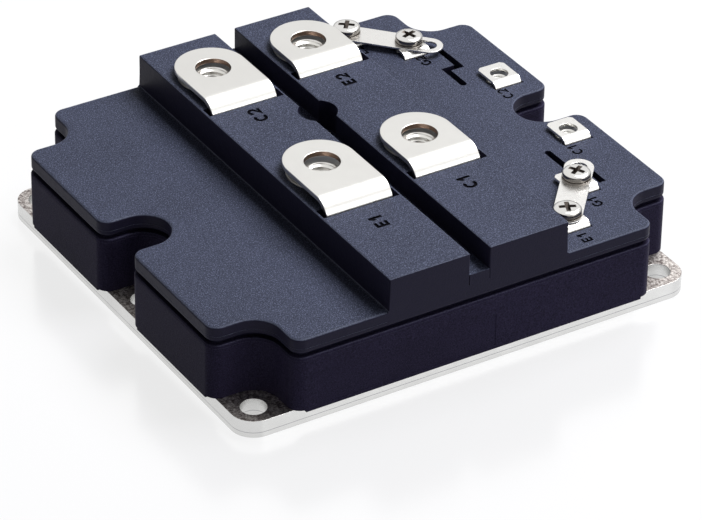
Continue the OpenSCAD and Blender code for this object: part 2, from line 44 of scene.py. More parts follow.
BLACK, WHITE = (0, 0, 0), (1, 1, 1)

# ---------- sizes that part.scad also has, in millimetres ----------
PLATE_X, PLATE_Y, PLATE_T, PLATE_GAP = 137.0, 127.0, 5.0, 0.15
CASE_X, CASE_Y = 140.0, 130.0
HOLE_X, HOLE_PITCH_Y = 62.0, 57.0
NOTCH_R, MOUTH_R = 7.3, 3.6
SKIRT_Z, CASE_TOP, RIM_Z, DECK_Z, RAIL_Z = 4.1, 21.0, 22.0, 26.4, 36.0
CEILING_Z = DECK_Z - 3.0
WALL_T, SEAM_DEPTH, LID_INSET, LID_LOWER_R = 2.6, 1.4, 0.2, 0.9
RAIL_IN, RAIL_OUT, RAIL_FOOT, GROOVE_Z = 3.0, 27.0, 0.5, 29.5
WELL_R, WELL_Y, WELL_Z = 5.4, 15.0, RAIL_Z - 8.6
RAIL_X = 15.0
FRONT_Y, BACK_Y = -12.0, 45.0
TAB_W, TAB_T, TAB_HOLE_R = 20.0, 1.5, 4.8
MAIN = {  # terminal: rail side, screw place, distance from screw to fold
    "c1": (1, FRONT_Y, 14.8),
    "e1": (-1, FRONT_Y, 19.3),
    "c2": (-1, BACK_Y, 17.7),
    "e2": (1, BACK_Y, 12.9),
}
POCKET_ROOM, POCKET_BACK, POCKET_H, POCKET_SIDE, FIT = 0.6, TAB_T + 2.0, 5.0, 1.4, 0.1
M8_FLATS, M8_H, M8_CORE_R, FLANGE_R, FLANGE_T, M8_TOP = 16.0, 6.3, 3.325, 9.6, 1.2, RAIL_Z + 0.3
M4_FLATS, M4_H, M4_CORE_R, M4_TOP = 7.0, 3.2, 1.62, DECK_Z - 0.1
POCKET_GAP = 0.15
AUX = {  # contact: screw place
    "c1": (60.6, -15.2),
    "g1": (47.6, -38.2),
    "e1": (35.4, -52.0),
    "c2": (60.6, 18.8),
    "g2": (47.6, 44.9),
    "e2": (35.4, 58.2),
}
AUX_W, AUX_T, AUX_REACH, AUX_ROOM, AUX_RISE, LINK_T = 8.4, 0.8, 5.0, 0.4, 0.7, 0.6
LINK_TOP = DECK_Z + AUX_RISE + AUX_T + LINK_T
FLAT_T, SPRING_T, HEAD_H, HEAD_R = 0.4, 0.6, 1.6, 3.8
SCREW_SEAT = LINK_TOP + FLAT_T + SPRING_T

# ---------- sizes of the detail that only the scene has, in millimetres ----------
CUT_LOW, CUT_HIGH = 20, 40  # cutters start below the deck and end above the rails
STRIP_Z = 23.0  # underside of the strip that carries the rails, inside the lid
LID_UPPER_R, RAIL_EDGE_R, POCKET_R, PAD_R = 0.75, 0.4, 0.3, 0.4
LID_LINE = ((23.45, 0.0), (23.5, 0.06), (23.55, 0.0))  # height and depth of the mould line round the lid
CASE_LINE = ((19.9, 0.0), (20.0, 0.07), (20.1, 0.0))  # the same for the case
CASE_FOOT = ((SKIRT_Z, 0.35), (SKIRT_Z + 0.12, 0.12), (SKIRT_Z + 0.35, 0.0))  # rounded lower edge
CASE_LIP = ((20.5, 0.0), (20.75, 0.08), (20.93, 0.25), (CASE_TOP, 0.5))  # rounded upper edge
PAD_X, PAD_Z, PAD_DEPTH = (-47.4, 5.5), (5.2, 15.3), 0.12  # shallow pad sunk into the front wall
M8_PITCH, M4_PITCH = 1.25, 0.7
SHANK_R, SHANK_L, RECESS_DEPTH = 1.58, 8, 1.25
SCREW_TURNS = {"g1": 0.5, "e1": 1.15, "g2": 0.3, "e2": 0.9}  # contact: turn of its screw, in radians
SPRING_TURN, SPRING_RISE = 2.2, 0.10  # turn of a split against its screw, and step between its ends
MARK_DEPTH = 0.35
LID_LETTERS, RAIL_LETTERS = (3.0, 0.62), (3.9, 0.92)  # height of the letters and width of their lines
LID_MARKS = (  # mark, place of its centre
    ("C1", 57.4, -23.0),
    ("C2", 57.4, 10.8),
    ("G1", 47.2, -47.4),
    ("E1", 35.0, -60.6),
    ("G2", 47.6, 37.2),
    ("E2", 35.4, 50.6),
)
# rail side: marks and their places along the rail
RAIL_MARKS = {-1: (("E1", -39.8), ("C2", 21.3)), 1: (("C1", -34.9), ("E2", 25.4))}
FLOOR_HALF, FLOOR_Z = 4000, -0.05

# ---------- light and camera ----------
LIGHTS = {  # name: place and size in metres, power in watts
    "key": ((0.60, 0.04, 0.98), (0.75, 0.65), 16.5),
    "front": ((0.40, -0.95, 0.42), (0.6, 0.3), 1.9),
}
LIGHT_TARGET = (0, 0, 0.02)
CAMERA_AT = (-490.891, -790.277, 599.610)  # millimetres
YAW, PITCH, ROLL = -0.557468, -0.574857, 0.0156026  # radians
LENS, SENSOR_WIDTH = 210.966667, 36  # millimetres

LEAST_KEPT = 0.7  # share of a body's width, depth and height that every boolean has to leave


# ---------- mesh helpers ----------
def add_object(name, data):
    """New scene object around a mesh, light or camera."""
    obj = bpy.data.objects.new(name, data)
    bpy.context.scene.collection.objects.link(obj)
    return obj


def add_bmesh(name, bm):
    """New mesh object from a bmesh, which is used up."""
    mesh = bpy.data.meshes.new(name)
    bm.to_mesh(mesh)
    bm.free()
    return add_object(name, mesh)


@contextmanager
def edited(obj):
    """The object's mesh as a bmesh, written back at the end."""
    bm = bmesh.new()
    bm.from_mesh(obj.data)
    yield bm
    bm.to_mesh(obj.data)
    bm.free()


def make_object(name, verts, faces):
    """New mesh object from vertices in millimetres."""
    mesh = bpy.data.meshes.new(name)
    mesh.from_pydata([Vector(v) * MM for v in verts], [], faces)
    mesh.update()
    return add_object(name, mesh)


def outward(obj):
    """Turns the faces outwards."""
    with edited(obj) as bm:
        bmesh.ops.recalc_face_normals(bm, faces=bm.faces)


def band(a, b, n):
    """Faces between two rings of n vertices, the first starting at vertex a and the second at b."""
    return [(a + i, a + (i + 1) % n, b + (i + 1) % n, b + i) for i in range(n)]


def stack(name, rings):
    """Closed body from rings of 3-D points with the same count, first ring to last, with flat end caps."""
    n = len(rings[0])
    faces = [tuple(range(n))[::-1]]
    for k in range(len(rings) - 1):
        faces += band(k * n, (k + 1) * n, n)
    faces.append(tuple(range((len(rings) - 1) * n, len(rings) * n)))
    obj = make_object(name, [p for points in rings for p in points], faces)
    outward(obj)
    return obj


def ring(at, z, radii):
    """Points about a vertical axis at equal angles, with a radius for each."""
    n = len(radii)
    turns = [TAU * i / n for i in range(n)]
    return [(at[0] + r * math.cos(a), at[1] + r * math.sin(a), z) for a, r in zip(turns, radii)]


def lathe(name, profile, at, n):
    """Solid of revolution about a vertical axis, from (radius, height) pairs, with flat ends."""
    return stack(name, [ring(at, z, [r] * n) for r, z in profile])


def prism(name, points, z0, z1):
    """Upright prism over an outline in the XY plane."""
    return stack(name, [[(x, y, z) for x, y in points] for z in (z0, z1)])


def runs(edge, axis, least):
    """Whether an edge spans more than a length along an axis."""
    return abs(edge.verts[0].co[axis] - edge.verts[1].co[axis]) > least * MM


def round_edges(bm, edges, radius, segments):
    """Rounds some edges of a bmesh by a radius in millimetres."""
    bmesh.ops.bevel(bm, geom=edges, offset=radius * MM, segments=segments, profile=0.5, affect="EDGES")


def box(name, lo, hi, radius=0.0, keep=None):
    """Box between two corners; with a radius, the edges for which keep(edge) holds are rounded."""
    bm = bmesh.new()
    bmesh.ops.create_cube(bm, size=1.0)
    for v in bm.verts:
        v.co = Vector([(lo[k] + hi[k]) / 2 + v.co[k] * (hi[k] - lo[k]) for k in range(3)]) * MM
    if radius:
        round_edges(bm, [e for e in bm.edges if keep(e)], radius, 2)
    return add_bmesh(name, bm)


def join(name, objs):
    """One object from several, which are removed."""
    bm = bmesh.new()
    for o in objs:
        bm.from_mesh(o.data)
        bpy.data.objects.remove(o)
    return add_bmesh(name, bm)


def boolean(obj, other, operation="DIFFERENCE"):
    """Applies an exact boolean and removes the other body; stops if too little of the box is left."""
    before = obj.dimensions.copy()
    mod = obj.modifiers.new("cut", "BOOLEAN")
    mod.operation = operation
    mod.solver = "EXACT"
    mod.object = other
    bpy.context.view_layer.update()
    mesh = bpy.data.meshes.new_from_object(obj.evaluated_get(bpy.context.evaluated_depsgraph_get()))
    obj.modifiers.clear()
    obj.data = mesh
    bpy.data.objects.remove(other)
    bpy.context.view_layer.update()
    if not mesh.polygons or min(obj.dimensions[k] / before[k] for k in range(3)) < LEAST_KEPT:
        raise RuntimeError(f"a boolean emptied {obj.name}")


def smooth(obj, angle=32):
    """Smooth shading with sharp edges kept, and flat faces kept flat."""
    obj.data.shade_smooth()
    obj.data.set_sharp_from_angle(angle=math.radians(angle))
    mod = obj.modifiers.new("flat faces", "WEIGHTED_NORMAL")
    mod.keep_sharp = True
    mod.weight = 100


def soften(obj, width):
    """Rounds the sharp edges of a CAD node with modifiers."""
    weld = obj.modifiers.new("weld", "WELD")
    weld.merge_threshold = 0.002 * MM
    flat = obj.modifiers.new("flat", "DECIMATE")
    flat.decimate_type = "DISSOLVE"
    flat.angle_limit = math.radians(0.6)
    bevel = obj.modifiers.new("edges", "BEVEL")
    bevel.width = width * MM
    bevel.segments = 2
    bevel.limit_method = "ANGLE"
    bevel.angle_limit = math.radians(40)
    bevel.harden_normals = True
    obj.data.shade_smooth()
    normals = obj.modifiers.new("flat faces", "WEIGHTED_NORMAL")
    normals.keep_sharp = True


# ---------- outline of the housing ----------
def arc(cx, cy, r, a0, a1, n):
    """Points of an arc in n steps, from angle a0 to a1 in degrees."""
    angles = [math.radians(a0 + (a1 - a0) * k / n) for k in range(n + 1)]
    return [(cx + r * math.cos(a), cy + r * math.sin(a)) for a in angles]


def outline(d, z):
    """Outline of the housing with its six notches, moved in by d, as a ring of points at height z."""
    concave, convex = 20, 8  # steps of a notch's arc and of a corner's
    r = NOTCH_R + d
    m = max(MOUTH_R - d, 0.2)
    x1, y1 = CASE_X / 2 - d, CASE_Y / 2 - d
    quarter = arc(HOLE_X, 0, r, 180, 90, concave)
    quarter += arc(x1 - m, r + m, m, -90, 0, convex)
    quarter += arc(x1 - m, HOLE_PITCH_Y - r - m, m, 0, 90, convex)
    quarter += arc(HOLE_X, HOLE_PITCH_Y, r, 270, 180, concave)
    quarter += arc(HOLE_X - r - m, y1 - m, m, 0, 90, convex)
    quarter += [(RAIL_OUT, y1)]
    half = quarter + [(-x, y) for x, y in reversed(quarter)]
    full = half + [(x, -y) for x, y in reversed(half)][1:-1]
    return [(x, y, z) for x, y in full]


def round_profile(z0, z1, d, r_bottom, r_top):
    """(height, inset) pairs of a rim with rounded lower and upper edges."""
    steps = 6
    angles = [math.radians(90 * k / steps) for k in range(steps + 1)]
    lower = [(z0 + r_bottom * (1 - math.cos(a)), d + r_bottom * (1 - math.sin(a))) for a in angles]
    return lower + [(z1 - r_top * (1 - math.sin(a)), d + r_top * (1 - math.cos(a))) for a in angles]


# ---------- node helpers ----------
class Graph:
    """Adds nodes to a node tree and joins them."""

    def __init__(self, tree):
        self.tree = tree
        tree.nodes.clear()

    def node(self, kind):
        return self.tree.nodes.new(kind)

    def link(self, a, b):
        self.tree.links.new(a, b)

    def feed(self, value, socket):
        """Links an output to a socket, or sets its value, where three numbers are an opaque colour."""
        if isinstance(value, bpy.types.NodeSocket):
            self.link(value, socket)
        else:
            socket.default_value = (*value, 1) if isinstance(value, tuple) else value

    def split(self, output):
        """X, Y and Z of an output of the texture coordinates."""
        n = self.node("ShaderNodeSeparateXYZ")
        self.link(self.node("ShaderNodeTexCoord").outputs[output], n.inputs[0])
        return n.outputs

    def math(self, op, a, b=0.0):
        n = self.node("ShaderNodeMath")
        n.operation = op
        self.feed(a, n.inputs[0])
        self.feed(b, n.inputs[1])
        return n.outputs[0]


class Material(Graph):
    """Graph of a material with one principled shader."""

    def __init__(self, name):
        self.mat = bpy.data.materials.new(name)
        self.mat.use_nodes = True
        super().__init__(self.mat.node_tree)
        self.bsdf = self.node("ShaderNodeBsdfPrincipled")
        self.link(self.bsdf.outputs[0], self.node("ShaderNodeOutputMaterial").inputs[0])

    def coords(self):
        return self.node("ShaderNodeTexCoord").outputs["Object"]

    def noise(self, scale, detail, roughness=0.5, vector=None):
        n = self.node("ShaderNodeTexNoise")
        n.inputs["Scale"].default_value = scale
        n.inputs["Detail"].default_value = detail
        n.inputs["Roughness"].default_value = roughness
        self.link(vector or self.coords(), n.inputs["Vector"])
        return n.outputs["Fac"]

    def ramp(self, value, stops):
        n = self.node("ShaderNodeValToRGB")
        elements = n.color_ramp.elements
        while len(elements) < len(stops):
            elements.new(0.5)
        for element, (position, color) in zip(elements, stops):
            element.position = position
            element.color = (*color, 1)
        self.link(value, n.inputs[0])
        return n.outputs[0]

    def mix(self, share, a, b):
        n = self.node("ShaderNodeMix")
        n.data_type = "RGBA"
        for value, k in ((share, 0), (a, 6), (b, 7)):
            self.feed(value, n.inputs[k])
        return n.outputs[2]

    def bump(self, height, distance):
        n = self.node("ShaderNodeBump")
        n.inputs["Strength"].default_value = 1.0
        n.inputs["Distance"].default_value = distance * MM
        self.link(height, n.inputs["Height"])
        return n.outputs[0]

    def set(self, **values):
        for key, value in values.items():
            self.feed(value, self.bsdf.inputs[key.replace("_", " ")])
        return self.mat


def shade(color, share):
    """A colour made darker or lighter by a factor."""
    return tuple(min(1, c * share) for c in color)


# ---------- materials ----------
def plastic(name, base, speck, rough, speck_share, gloss, wall=None, edge=None):
    """Dark moulded plastic with fine grain, pores and pale filler; wall is painted shade on the sides, edge
    a painted highlight on rounded edges.
    """
    m = Material(name)
    up = m.split("Normal")[2]
    clouds = m.ramp(m.noise(38, 3), [(0.35, BLACK), (0.65, WHITE)])
    color = m.mix(clouds, shade(base, 0.88), shade(base, 1.12))
    specks = m.ramp(m.noise(3300, 1), [(0.50, BLACK), (0.68, WHITE)])
    color = m.mix(m.math("MULTIPLY", specks, speck_share), color, speck)
    # painted shade: faces that do not point up get the darker wall colour
    if wall:
        color = m.mix(m.ramp(up, [(0.80, BLACK), (0.97, WHITE)]), wall, color)
    # painted highlight: a lighter band where the normal slopes, along the rounded edges
    if edge:
        rim = m.ramp(up, [(0.45, BLACK), (0.66, WHITE), (0.84, WHITE), (0.96, BLACK)])
        color = m.mix(m.math("MULTIPLY", rim, 0.75), color, edge)
    pores = m.ramp(m.noise(2700, 2, 0.7), [(0.36, WHITE), (0.52, BLACK)])
    color = m.mix(m.math("MULTIPLY", pores, 0.60), color, shade(base, 0.30))
    height = m.math("ADD", m.noise(1500, 2, 0.6), m.math("MULTIPLY", m.noise(420, 2), 0.6))
    roughness = m.math("ADD", m.math("MULTIPLY", m.noise(900, 2), 0.16), rough - 0.08)
    relief = m.bump(height, 0.05)
    return m.set(Base_Color=color, Roughness=roughness, Normal=relief, Specular_IOR_Level=gloss)


def metal(name, base, rough, streak=(1, 1, 1), bump=0.006, tone=0.06):
    """Plated metal: a fine grain in gloss and relief, stretched by streak, and a slow change of tone."""
    m = Material(name)
    mapping = m.node("ShaderNodeMapping")
    mapping.inputs["Scale"].default_value = streak
    m.link(m.coords(), mapping.inputs[0])
    fine = m.noise(700, 3, vector=mapping.outputs[0])
    color = m.mix(m.noise(120, 2), shade(base, 1 - tone), shade(base, 1 + tone))
    roughness = m.math("ADD", m.math("MULTIPLY", fine, 0.12), rough - 0.06)
    return m.set(Base_Color=color, Metallic=1.0, Roughness=roughness, Normal=m.bump(fine, bump))


def terminal_metal():
    """Nickel plate whose punched hole walls show the brown of the copper."""
    m = Material("terminal_nickel")
    place = m.split("Object")
    dx = m.math("SUBTRACT", m.math("ABSOLUTE", place[0]), RAIL_X * MM)
    near = m.math("ABSOLUTE", m.math("SUBTRACT", place[1], FRONT_Y * MM))
    far = m.math("ABSOLUTE", m.math("SUBTRACT", place[1], BACK_Y * MM))
    dy = m.math("MINIMUM", near, far)
    reach = m.math("SQRT", m.math("ADD", m.math("MULTIPLY", dx, dx), m.math("MULTIPLY", dy, dy)))
    wall = m.math("LESS_THAN", reach, (TAB_HOLE_R + 0.06) * MM)
    fine = m.noise(520, 2)
    color = m.mix(m.noise(90, 2), (0.69, 0.68, 0.655), (0.745, 0.735, 0.71))
    color = m.mix(wall, color, (0.22, 0.15, 0.115))
    roughness = m.math("ADD", m.math("MULTIPLY", fine, 0.06), 0.27)
    return m.set(Base_Color=color, Metallic=1.0, Roughness=roughness, Normal=m.bump(fine, 0.002))


def screw_metal():
    """Bright plated steel with painted shade: the sides are painted much darker than the head's upward
    faces.
    """
    m = Material("screw_plate")
    # painted shade: faces that do not point up get the much darker side colour
    head = m.ramp(m.split("Normal")[2], [(0.30, BLACK), (0.72, WHITE)])
    color = m.mix(head, (0.24, 0.225, 0.21), (0.74, 0.73, 0.71))
    roughness = m.math("ADD", m.math("MULTIPLY", m.noise(500, 2), 0.06), 0.11)
    return m.set(Base_Color=color, Metallic=1.0, Roughness=roughness)


def plate_metal():
    """Plated plate: satin sides with a faint line, and a rougher upper face mottled from brown to pale."""
    m = Material("plated_base")
    z = m.split("Object")[2]
    up = m.ramp(m.split("Normal")[2], [(0.80, BLACK), (0.93, WHITE)])
    top = m.math("MULTIPLY", up, m.math("GREATER_THAN", z, 4.6 * MM))
    grain = m.noise(1500, 3, 0.65)
    brown, grey, pale = (0.14, 0.115, 0.11), (0.46, 0.42, 0.40), (0.84, 0.81, 0.78)
    grit = m.ramp(grain, [(0.38, brown), (0.52, grey), (0.68, pale)])
    line = m.math("COMPARE", z, 1.5 * MM)
    line.node.inputs[2].default_value = 0.10 * MM
    side = m.mix(m.noise(140, 2), (0.62, 0.62, 0.612), (0.73, 0.73, 0.72))
    side = m.mix(m.math("MULTIPLY", line, 0.6), side, (0.22, 0.22, 0.24))
    metallic = m.math("SUBTRACT", 1.0, m.math("MULTIPLY", top, 0.08))
    roughness = m.math("ADD", 0.26, m.math("MULTIPLY", top, 0.12))
    color = m.mix(top, side, grit)
    return m.set(Base_Color=color, Metallic=metallic, Roughness=roughness, Normal=m.bump(grain, 0.03))


def plain(name, base, rough, metallic=0.0, scale=600, **extra):
    """Even material with a slight mottle."""
    m = Material(name)
    n = m.noise(scale, 2)
    color = m.mix(n, shade(base, 0.9), shade(base, 1.1))
    return m.set(Base_Color=color, Roughness=rough, Metallic=metallic, Normal=m.bump(n, 0.01), **extra)


MAT = {
    "case": plastic(
        # edge: painted highlight along the case's rounded edges
        "case_plastic", (0.026, 0.022, 0.050), (0.07, 0.062, 0.12), 0.52, 0.30, 0.03, edge=(0.07, 0.07, 0.12)
    ),
    "lid": plastic(
        "lid_plastic",
        (0.045, 0.051, 0.086),
        (0.24, 0.275, 0.41),
        0.48,
        0.54,
        0.08,
        # painted shade on the lid's sides
        wall=(0.020, 0.018, 0.040),
        # painted highlight along the lid's rounded edges
        edge=(0.15, 0.17, 0.25),
    ),
    # painted shade: near-black plastic for the sunk faces of the marks
    "mark": plastic("mark_recess_painted_shade", (0.003, 0.003, 0.005), (0.008, 0.008, 0.012), 0.6, 0.2, 0.02),
    "plate": plate_metal(),
    "terminal": terminal_metal(),
    "link": metal("link_nickel", (0.77, 0.76, 0.74), 0.28, bump=0.001, tone=0.02),
    "nut": metal("nut_plate", (0.74, 0.73, 0.70), 0.36, (1, 1, 3)),
    "screw": screw_metal(),
    "washer": metal("washer_plate", (0.27, 0.25, 0.23), 0.22, bump=0.001, tone=0.02),
    # painted shade: dark material for the inside of the screws' cross recesses
    "recess": plain("screw_recess_painted_shade", (0.10, 0.085, 0.075), 0.35, 0.9),
    "copper": plain("copper", (0.75, 0.36, 0.22), 0.35, 1.0),
    "ceramic": plain("ceramic", (0.86, 0.86, 0.83), 0.5),
    "silicon": plain("silicon", (0.16, 0.17, 0.21), 0.18, 0.6, 200),
    "ribbon": plain("ribbon_aluminium", (0.82, 0.82, 0.84), 0.3, 1.0),
    "board": plain("board_laminate", (0.03, 0.17, 0.07), 0.4, 0.0, 300),
    "pin": plain("pin_brass", (0.80, 0.62, 0.30), 0.3, 1.0),
    "gel": plain("clear_gel", (0.80, 0.86, 0.90), 0.2, 0.0, 90, Transmission_Weight=0.9),
}


def paint(obj, key):
    """Gives an object one material only."""
    obj.data.materials.clear()
    obj.data.materials.append(MAT[key])


def finish_piece(obj, slot, *nodes):
    """Hides the stand-ins of a new piece and attaches it to the root body; slot is not used."""
    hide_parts(*nodes)
    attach(obj, "root")


# ---------- terminal marks ----------
def stroke(points, w):
    """Outline of a line of constant width w that runs through some points."""
    left, right = [], []
    for k, (u, v) in enumerate(points):
        before = points[max(k - 1, 0)]
        after = points[min(k + 1, len(points) - 1)]
        d1, d2 = Vector((u - before[0], v - before[1])), Vector((after[0] - u, after[1] - v))
        d1, d2 = (d1 if d1.length else d2).normalized(), (d2 if d2.length else d1).normalized()
        n1, n2 = Vector((-d1.y, d1.x)), Vector((-d2.y, d2.x))
        n = (n1 + n2).normalized()
        n *= w / 2 / max(n.dot(n1), 0.5)
        left.append((u + n.x, v + n.y))
        right.append((u - n.x, v - n.y))
    return left + right[::-1]


def sweep(x, y, rx, ry, angles):
    """Points of an ellipse's arc about (x, y) at some angles in degrees."""
    return [(x + rx * math.cos(math.radians(a)), y + ry * math.sin(math.radians(a))) for a in angles]


def glyph(letter, h, w):
    """Outline of C, G, E, 2 or 1, of height h and drawn with lines of width w, centred on u = 0."""
    r = 0.34 * h
    bowl = sweep(0, h / 2, r, (h - w) / 2, range(48, 318, 15))
    if letter == "C":
        return stroke(bowl, w)
    if letter == "G":
        return stroke(bowl + [(r, 0.26 * h), (r, 0.46 * h), (0.08 * h, 0.46 * h)], w)
    if letter == "E":
        a, m = 0.31 * h, (h - w) / 2
        lower = [(-a, 0), (a, 0), (a, w), (w - a, w), (w - a, m), (0.85 * a, m)]
        return lower + [(0.85 * a, m + w), (w - a, m + w), (w - a, h - w), (a, h - w), (a, h), (-a, h)]
    if letter == "2":
        hook = sweep(0, h - w / 2 - 0.27 * h, 0.27 * h, 0.27 * h, range(165, -31, -15))
        return stroke(hook + [(-0.28 * h, w / 2), (0.31 * h, w / 2)], w)
    f = 0.74 * h
    flag = [(-w / 2, h), (-0.30 * h, f), (-0.30 * h, f - 1.1 * w), (-w / 2, h - 1.7 * w)]
    return [(-w / 2, 0), (w / 2, 0), (w / 2, h)] + flag


def cut_mark(body, text, x, y, z, letters):
    """Cuts a terminal mark into the face at z; it reads along +Y and is centred on x and y."""
    h, w = letters
    for letter, shift in zip(text, (-0.46 * h, 0.44 * h)):
        points = [(x - v + h / 2, y + shift + u) for u, v in glyph(letter, h, w)]
        boolean(body, prism("mark", points, z - MARK_DEPTH, z + 1))


def paint_mark_shade(obj, z):
    """Gives the sunk faces of the marks in the face at z a near-black material: painted shade in the
    recesses.
    """
    obj.data.materials.append(MAT["mark"])
    for f in obj.data.polygons:
        floor = f.normal.z > 0.9 and abs(f.center.z - (z - MARK_DEPTH) * MM) < 0.01 * MM
        wall = abs(f.normal.z) < 0.02 and abs(f.center.z - (z - MARK_DEPTH / 2) * MM) < 0.01 * MM
        if floor or wall:
            f.material_index = 1


# ---------- lid and rails ----------
def slot_outline():
    """Creepage slot in the deck: two straight runs joined by a jog."""
    w, inner, outer, near, jog, end = 1.0, 50.3, 54.6, 20.0, 29.7, 40.5
    points = arc(inner, near + w, w, 180, 360, 10)
    points += [(inner + w, jog - w), (outer + w, jog - w), (outer + w, end)]
    return points + [(outer - w, end), (outer - w, jog + w), (inner - w, jog + w)]


def hexagon(flats, x, y):
    """Corners of a hexagon about (x, y)."""
    r = flats / 2 / math.cos(math.pi / 6)
    return [(x + r * math.cos(TAU * k / 6), y + r * math.sin(TAU * k / 6)) for k in range(6)]


def well():
    """Cutter for the round well in the groove."""
    return lathe("well", [(WELL_R, WELL_Z), (WELL_R, CUT_HIGH)], (0, WELL_Y), 64)


def leg_slot(x, leg):
    """Cutter for the slot of a main terminal whose leg's front face is at leg."""
    half_w = TAB_W / 2 + FIT
    return box("leg", (x - half_w, leg - FIT, CUT_LOW), (x + half_w, leg + TAB_T + FIT, CUT_HIGH))


def build_lid():
    inner, seam = WALL_T + SEAM_DEPTH, LID_INSET + SEAM_DEPTH
    plug = ((inner, CEILING_Z), (inner, CASE_TOP), (seam, CASE_TOP), (seam, RIM_Z))
    rings = [outline(inset, z) for inset, z in plug]
    profile = round_profile(RIM_Z, DECK_Z, LID_INSET, LID_LOWER_R, LID_UPPER_R)
    half = len(profile) // 2
    profile[half:half] = [(z, LID_INSET + depth) for z, depth in LID_LINE]
    lid = stack("lid_dressed", rings + [outline(inset, z) for z, inset in profile])
    y_end, o = CASE_Y / 2 - LID_INSET, RAIL_OUT + RAIL_FOOT
    section = [(-o, STRIP_Z), (o, STRIP_Z), (o, DECK_Z), (RAIL_IN, DECK_Z)]
    section += [(RAIL_IN, GROOVE_Z), (-RAIL_IN, GROOVE_Z), (-RAIL_IN, DECK_Z), (-o, DECK_Z)]
    boolean(lid, stack("base", [[(x, y, z) for x, z in section] for y in (-y_end, y_end)]), "UNION")
    boolean(lid, well())
    for side, y, reach in MAIN.values():
        boolean(lid, leg_slot(side * RAIL_X, y - reach))
    cutters = []
    for x, y in AUX.values():
        w = AUX_W / 2 + AUX_ROOM
        leg = y - AUX_REACH
        lo, hi = (x - w, leg - AUX_ROOM, CUT_LOW), (x + w, leg + AUX_T + AUX_ROOM, CUT_HIGH)
        cutters.append(box("slot", lo, hi))
        cutters.append(prism("hex", hexagon(M4_FLATS + 2 * POCKET_GAP, x, y), M4_TOP - M4_H, CUT_HIGH))
    for s in (-1, 1):
        cutters.append(prism("slot", [(x, s * y) for x, y in slot_outline()], CUT_LOW, CUT_HIGH))
    boolean(lid, join("cutters", cutters))
    for text, x, y in LID_MARKS:
        cut_mark(lid, text, x, y, DECK_Z, LID_LETTERS)
    paint(lid, "lid")
    paint_mark_shade(lid, DECK_Z)
    smooth(lid)
    finish_piece(lid, "lid_plastic", "lid")


def build_rail(side, node):
    """Terminal rail with its slots, nut pockets and marks."""
    y_end, f = CASE_Y / 2 - LID_INSET, RAIL_FOOT
    section = [(RAIL_IN, DECK_Z)] + arc(RAIL_OUT + f, DECK_Z + f, f, 270, 180, 4)
    section += [(RAIL_OUT, RAIL_Z), (RAIL_IN, RAIL_Z)]
    rail = stack(node + "_dressed", [[(side * x, y, z) for x, z in section] for y in (-y_end, y_end)])
    with edited(rail) as bm:
        top = [e for e in bm.edges if min(v.co.z for v in e.verts) > (RAIL_Z - 0.1) * MM]
        ends = [e for e in bm.edges if runs(e, 2, 5)]
        round_edges(bm, top + ends, RAIL_EDGE_R, 3)
    boolean(rail, well())
    for terminal_side, y, reach in MAIN.values():
        if terminal_side != side:
            continue
        x, leg = side * RAIL_X, y - reach
        half_w = TAB_W / 2 + POCKET_SIDE
        lo = (x - half_w, leg - POCKET_ROOM, RAIL_Z - POCKET_H)
        hi = (x + half_w, leg + POCKET_BACK, CUT_HIGH)
        boolean(rail, box("pocket", lo, hi, POCKET_R, lambda e: runs(e, 2, 1)))
        boolean(rail, leg_slot(x, leg))
        r = FLANGE_R + POCKET_GAP
        boolean(rail, lathe("seat", [(r, M8_TOP - FLANGE_T), (r, CUT_HIGH)], (x, y), 64))
        boolean(rail, prism("hex", hexagon(M8_FLATS + 2 * POCKET_GAP, x, y), CUT_LOW, CUT_HIGH))
    for text, y in RAIL_MARKS[side]:
        cut_mark(rail, text, side * RAIL_X, y, RAIL_Z, RAIL_LETTERS)
    paint(rail, "lid")
    paint_mark_shade(rail, RAIL_Z)
    smooth(rail)
    finish_piece(rail, "lid_plastic", node)


# ---------- case ----------
def build_case():
    """Wall frame: a closed loop of outlines, down the inside and up the outside, cut free of the plate."""
    rings = [outline(WALL_T, CASE_TOP), outline(WALL_T, SKIRT_Z)]
    rings += [outline(inset, z) for z, inset in CASE_FOOT + CASE_LINE + CASE_LIP]
    case = stack("case_dressed", rings + [rings[0]])
    with edited(case) as bm:
        bmesh.ops.remove_doubles(bm, verts=bm.verts, dist=1e-7)
        bmesh.ops.delete(bm, geom=[f for f in bm.faces if len(f.verts) > 8], context="FACES")
        bmesh.ops.recalc_face_normals(bm, faces=bm.faces)
    gap = PLATE_GAP
    lo, hi = (-PLATE_X / 2 - gap, -PLATE_Y / 2 - gap, 0), (PLATE_X / 2 + gap, PLATE_Y / 2 + gap, PLATE_T)
    boolean(case, box("rebate", lo, hi))
    reach = NOTCH_R + MOUTH_R
    for sx in (-1, 1):
        for row in (-1, 0, 1):
            x, y = sx * HOLE_X, row * HOLE_PITCH_Y
            boolean(case, box("skirt end", (x - reach, y - reach, 0), (x + reach, y + reach, PLATE_T)))
    lo, hi = (PAD_X[0], -CASE_Y / 2 - 1, PAD_Z[0]), (PAD_X[1], -CASE_Y / 2 + PAD_DEPTH, PAD_Z[1])
    boolean(case, box("pad", lo, hi, PAD_R, lambda e: runs(e, 1, 0.5)))
    paint(case, "case")
    smooth(case)
    finish_piece(case, "case_plastic", "case_frame")


